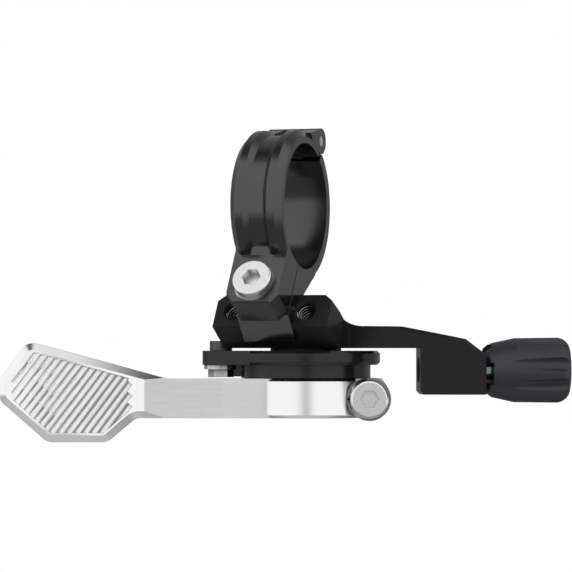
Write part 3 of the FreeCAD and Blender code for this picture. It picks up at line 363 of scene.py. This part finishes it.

# Grain is in marks per metre, Roughness is the middle of its Spread; the painted shade in hollows is 0.6
# strong where a finish doesn't set it
finishes = {
    "clampBlack": {"effect": blastedGrain, "metallic": 0.0, "ior": 1.78,
                   "Grain": 7000.0, "Depth": 0.12, "Roughness": 0.17, "Spread": 0.06,
                   "Dark": (0.0040, 0.0040, 0.0044, 1), "Light": (0.0070, 0.0070, 0.0076, 1)},
    "bodyBlack": {"effect": blastedGrain, "metallic": 0.0, "ior": 1.18,
                  "Grain": 7000.0, "Depth": 0.12, "Roughness": 0.30, "Spread": 0.06,
                  "Dark": (0.0150, 0.0136, 0.0138, 1), "Light": (0.0205, 0.0188, 0.0190, 1),
                  "HollowShade": 0.2},
    "pulleyBlack": {"effect": blastedGrain, "metallic": 0.0, "ior": 1.40,
                    "Grain": 7000.0, "Depth": 0.12, "Roughness": 0.22, "Spread": 0.06,
                    "Dark": (0.0080, 0.0072, 0.0072, 1), "Light": (0.0130, 0.0118, 0.0118, 1),
                    "HollowShade": 0.4},
    "gripSlate": {"effect": blastedGrain, "metallic": 0.0, "ior": 1.55,
                  "Grain": 6000.0, "Depth": 0.3, "Roughness": 0.42, "Spread": 0.1,
                  "Dark": (0.010, 0.010, 0.014, 1), "Light": (0.015, 0.0155, 0.020, 1)},
    "blackSteel": {"effect": blastedGrain, "metallic": 0.0, "ior": 1.8,
                   "Grain": 6000.0, "Depth": 0.2, "Roughness": 0.32, "Spread": 0.1,
                   "Dark": (0.012, 0.012, 0.013, 1), "Light": (0.020, 0.020, 0.021, 1)},
    "sealRubber": {"effect": blastedGrain, "metallic": 0.0, "ior": 1.45,
                   "Grain": 4000.0, "Depth": 0.4, "Roughness": 0.6, "Spread": 0.1,
                   "Dark": (0.012, 0.012, 0.012, 1), "Light": (0.02, 0.02, 0.02, 1)},
    "patchBlue": {"effect": blastedGrain, "metallic": 0.0, "ior": 1.45,
                  "Grain": 5000.0, "Depth": 0.5, "Roughness": 0.6, "Spread": 0.1,
                  "Dark": (0.24, 0.60, 0.82, 1), "Light": (0.32, 0.72, 0.94, 1), "HollowShade": 0.0},
    "brightLever": {"effect": brushMarks, "metallic": 1.0, "ior": 1.5,
                    "Stretch": (0.03, 1.0, 1.0), "Turn": (0.0, 0.0, 0.349),
                    "Grain": 9000.0, "Depth": 0.12, "Roughness": 0.26, "Spread": 0.12,
                    "Dark": (0.86, 0.86, 0.86, 1), "Light": (0.95, 0.95, 0.95, 1)},
    "screwSteel": {"effect": brushMarks, "metallic": 1.0, "ior": 1.5,
                   "Grain": 3000.0, "Depth": 0.05, "Roughness": 0.26, "Spread": 0.08,
                   "Dark": (0.72, 0.72, 0.715, 1), "Light": (0.84, 0.84, 0.835, 1), "HollowShade": 1.0},
    "threadSteel": {"effect": brushMarks, "metallic": 1.0, "ior": 1.5,
                    "Grain": 3000.0, "Depth": 0.05, "Roughness": 0.2, "Spread": 0.08,
                    "Dark": (0.50, 0.49, 0.47, 1), "Light": (0.64, 0.63, 0.60, 1)},
    "cageBrass": {"effect": brushMarks, "metallic": 1.0, "ior": 1.5,
                  "Grain": 3000.0, "Depth": 0.05, "Roughness": 0.3, "Spread": 0.1,
                  "Dark": (0.62, 0.42, 0.16, 1), "Light": (0.75, 0.54, 0.24, 1)},
}

# on the cap screws the painted shade falls only on the sockets' walls and the skirts
finishes["clampScrewSteel"] = dict(finishes["screwSteel"], Axis=clampBoltAxis)
finishes["pinchScrewSteel"] = dict(finishes["screwSteel"], Axis=pinchBoltAxis)


def makeFinish(name, settings):
    material = bpy.data.materials.new(name)
    material.use_nodes = True
    tree = material.node_tree
    tree.nodes.clear()
    out = tree.nodes.new("ShaderNodeOutputMaterial")
    surface = tree.nodes.new("ShaderNodeBsdfPrincipled")
    surface.inputs["Metallic"].default_value = settings["metallic"]
    surface.inputs["IOR"].default_value = settings["ior"]
    effect = tree.nodes.new("ShaderNodeGroup")
    effect.node_tree = settings["effect"]
    for socket in effect.inputs:
        if socket.name in settings:
            socket.default_value = settings[socket.name]
    link(tree, effect.outputs["Color"], surface.inputs["Base Color"])
    link(tree, effect.outputs["Roughness"], surface.inputs["Roughness"])
    link(tree, effect.outputs["Normal"], surface.inputs["Normal"])
    link(tree, surface.outputs[0], out.inputs["Surface"])
    return material


made = {name: makeFinish(name, settings) for name, settings in finishes.items()}

nodeFinish = {
    "clamp_front": "clampBlack", "clamp_rear": "clampBlack", "hinge_pin": "screwSteel",
    "clamp_bolt": "clampScrewSteel", "pinch_bolt": "pinchScrewSteel",
    "main_body": "bodyBlack", "cable_pulley": "pulleyBlack", "thumb_lever": "brightLever",
    "axle_washer": "screwSteel", "axle_screw": "screwSteel",
    "bearing_inner_race": "screwSteel", "bearing_outer_race": "screwSteel",
    "bearing_rollers": "screwSteel", "bearing_cage": "cageBrass",
    "bearing_seal_upper": "sealRubber", "bearing_seal_lower": "sealRubber",
    "anchor_screw": "blackSteel", "anchor_washer": "screwSteel", "anchor_nut": "screwSteel",
    "adjuster_barrel": "blackSteel", "adjuster_grip": "gripSlate", "thread_lock_patch": "patchBlue",
}


def dress(node, finish):
    slots = nodes[node].material_slots
    if not slots:
        nodes[node].data.materials.append(made[finish])
    for item in slots:
        item.material = made[finish]


for node, finish in nodeFinish.items():
    dress(node, finish)
print("finishes set on", len(nodeFinish), "nodes")


def newPattern(name, inputs):
    tree = bpy.data.node_groups.new(name, "GeometryNodeTree")
    tree.interface.new_socket("Geometry", in_out="INPUT", socket_type="NodeSocketGeometry")
    sockets = {}
    for label, kind, start in inputs + [("Material", "NodeSocketMaterial", None)]:
        socket = tree.interface.new_socket(label, in_out="INPUT", socket_type=kind)
        socket.default_value = start
        sockets[label] = socket.identifier
    tree.interface.new_socket("Geometry", in_out="OUTPUT", socket_type="NodeSocketGeometry")
    return tree, tree.nodes.new("NodeGroupInput").outputs, sockets


def addStep(tree, kind, inputs=None, **options):
    node = tree.nodes.new(kind)
    for key, value in options.items():
        setattr(node, key, value)
    for name, item in (inputs or {}).items():
        feed(tree, node.inputs[name], item)
    return node


def endPattern(tree, given, mesh):      # real triangles in one finish, as the export needs them
    real = addStep(tree, "GeometryNodeRealizeInstances", {"Geometry": mesh})
    painted = addStep(tree, "GeometryNodeSetMaterial",
                      {"Geometry": real.outputs["Geometry"], "Material": given["Material"]})
    addStep(tree, "NodeGroupOutput", {"Geometry": painted.outputs["Geometry"]})


# runs a pattern, keeps what it makes as a plain mesh in its place, and lets it ride on a body
def growPiece(name, pattern, settings, place, body):
    tree, sockets = pattern
    seed = bpy.data.objects.new(name + "Seed", bpy.data.meshes.new(name + "Seed"))
    scene.collection.objects.link(seed)
    modifier = seed.modifiers.new(name, "NODES")
    modifier.node_group = tree
    for label, value in settings.items():
        modifier[sockets[label]] = value
    shaped = seed.evaluated_get(bpy.context.evaluated_depsgraph_get())
    mesh = bpy.data.meshes.new_from_object(shaped)
    seed.modifiers.clear()
    bpy.data.objects.remove(seed)
    mesh.transform(place)
    piece = bpy.data.objects.new(name, mesh)
    scene.collection.objects.link(piece)
    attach(piece, body)


# from +Z and the origin, where a pattern is made, to an axis and a seat on the part
def standOn(seat, axis):
    turn = axis.to_track_quat("Z", "Y").to_matrix().to_4x4()
    return Matrix.Translation(seat) @ turn


# The two cap screws' heads are knurled round the skirt
knurling = {
    "ridges": 54,
    "ridgeHalf": 0.00020,       # from a ridge's middle to its crest
    "proud": 0.00015,
    "fromSeat": 0.0003,         # plain skirt below the ridges
    "fromRim": 0.00045,         # and above them
    "faceFlat": 0.00002,        # how far under the head's highest point its top face still lies
    # node: body, axis, the head's radius and height
    "heads": {
        "clamp_bolt": ("mount_body", clampBoltAxis, 0.0035, 0.0028),
        "pinch_bolt": ("lever", pinchBoltAxis, 0.00342, 0.0028),
    },
}


def makeKnurling():
    tree, given, sockets = newPattern("knurledSkirt", [
        ("Ridges", "NodeSocketInt", 60), ("Radius", "NodeSocketFloat", 0.0035),
        ("Ridge", "NodeSocketFloat", 0.0002), ("Height", "NodeSocketFloat", 0.002),
        ("Start", "NodeSocketFloat", 0.0003)])
    ring = addStep(tree, "GeometryNodeMeshCircle", {"Vertices": given["Ridges"], "Radius": given["Radius"]})
    ridge = addStep(tree, "GeometryNodeMeshCylinder",
                    {"Vertices": 4, "Radius": given["Ridge"], "Depth": given["Height"]})
    outward = addStep(tree, "FunctionNodeAlignEulerToVector",
                      {"Vector": addStep(tree, "GeometryNodeInputPosition").outputs[0]}, axis="X")
    middle = addMath(tree, "MULTIPLY_ADD", given["Height"], 0.5, given["Start"])
    lift = addStep(tree, "ShaderNodeCombineXYZ", {"Z": middle})
    raised = addStep(tree, "GeometryNodeTransform",
                     {"Geometry": ring.outputs[0], "Translation": lift.outputs[0]})
    points = addStep(tree, "GeometryNodeInstanceOnPoints",
                     {"Points": raised.outputs[0], "Instance": ridge.outputs["Mesh"],
                      "Rotation": outward.outputs[0]})
    endPattern(tree, given, points.outputs[0])
    return tree, sockets


def headFoot(node, axis, height, faceFlat):     # the middle of the head's top face, less its height
    corners = [vertex.co for vertex in nodes[node].data.vertices]
    reach = max(corner.dot(axis) for corner in corners)
    top = [corner for corner in corners if corner.dot(axis) > reach - faceFlat]
    return sum(top, Vector()) / len(top) - axis * height


def knurlHeads(settings):
    knurledSkirt = makeKnurling()
    for node, (body, axis, radius, height) in settings["heads"].items():
        foot = headFoot(node, axis, height, settings["faceFlat"])
        growPiece(node + "_knurling", knurledSkirt, {
            "Ridges": settings["ridges"],
            "Radius": radius + settings["proud"] - settings["ridgeHalf"],
            "Ridge": settings["ridgeHalf"],
            "Height": height - settings["fromSeat"] - settings["fromRim"],
            "Start": settings["fromSeat"],
            "Material": made[nodeFinish[node]],
        }, standOn(foot, axis), body)
        print("knurling cut on", node)


knurlHeads(knurling)

# The holes beside the clamp, as the record gives them, show the turns of their thread
tapping = {
    "holes": ("spare_thread_left", "spare_thread_right"),
    "body": "mount_body",
    "pitch": 0.0007,
    "depth": 0.00018,           # from the wall to the crest
    "steps": 24,                # in one turn
    "length": 0.0085,
    "start": 0.003975,          # from the hole's middle towards its mouth
}


def makeThread():
    tree, given, sockets = newPattern("screwThread", [
        ("Turns", "NodeSocketFloat", 10.0), ("Radius", "NodeSocketFloat", 0.00165),
        ("Length", "NodeSocketFloat", 0.007), ("Depth", "NodeSocketFloat", 0.0002),
        ("Steps", "NodeSocketInt", 24)])
    coil = addStep(tree, "GeometryNodeCurveSpiral",
                   {"Resolution": given["Steps"], "Rotations": given["Turns"], "Height": given["Length"],
                    "Start Radius": given["Radius"], "End Radius": given["Radius"]})
    upright = addStep(tree, "GeometryNodeSetCurveNormal", {"Curve": coil.outputs[0]}, mode="Z_UP")
    crest = addStep(tree, "GeometryNodeCurvePrimitiveCircle", {"Resolution": 4, "Radius": given["Depth"]})
    swept = addStep(tree, "GeometryNodeCurveToMesh",
                    {"Curve": upright.outputs[0], "Profile Curve": crest.outputs[0], "Fill Caps": True})
    endPattern(tree, given, swept.outputs[0])
    return tree, sockets


def tapHoles(settings):
    screwThread = makeThread()
    mounts = {mount["name"]: mount for mount in frame["record"]["mounts"]}
    for name in settings["holes"]:
        out = Vector(mounts[name]["axis"])
        start = Vector(mounts[name]["pos_m"]) + out * settings["start"]
        growPiece(name, screwThread, {
            "Turns": settings["length"] / settings["pitch"],
            "Radius": mounts[name]["dims"]["r_mm"] / 1000,
            "Length": settings["length"],
            "Depth": settings["depth"],
            "Steps": settings["steps"],
            "Material": made["threadSteel"],
        }, standOn(start, -out), settings["body"])
        print("thread cut in", name)


tapHoles(tapping)
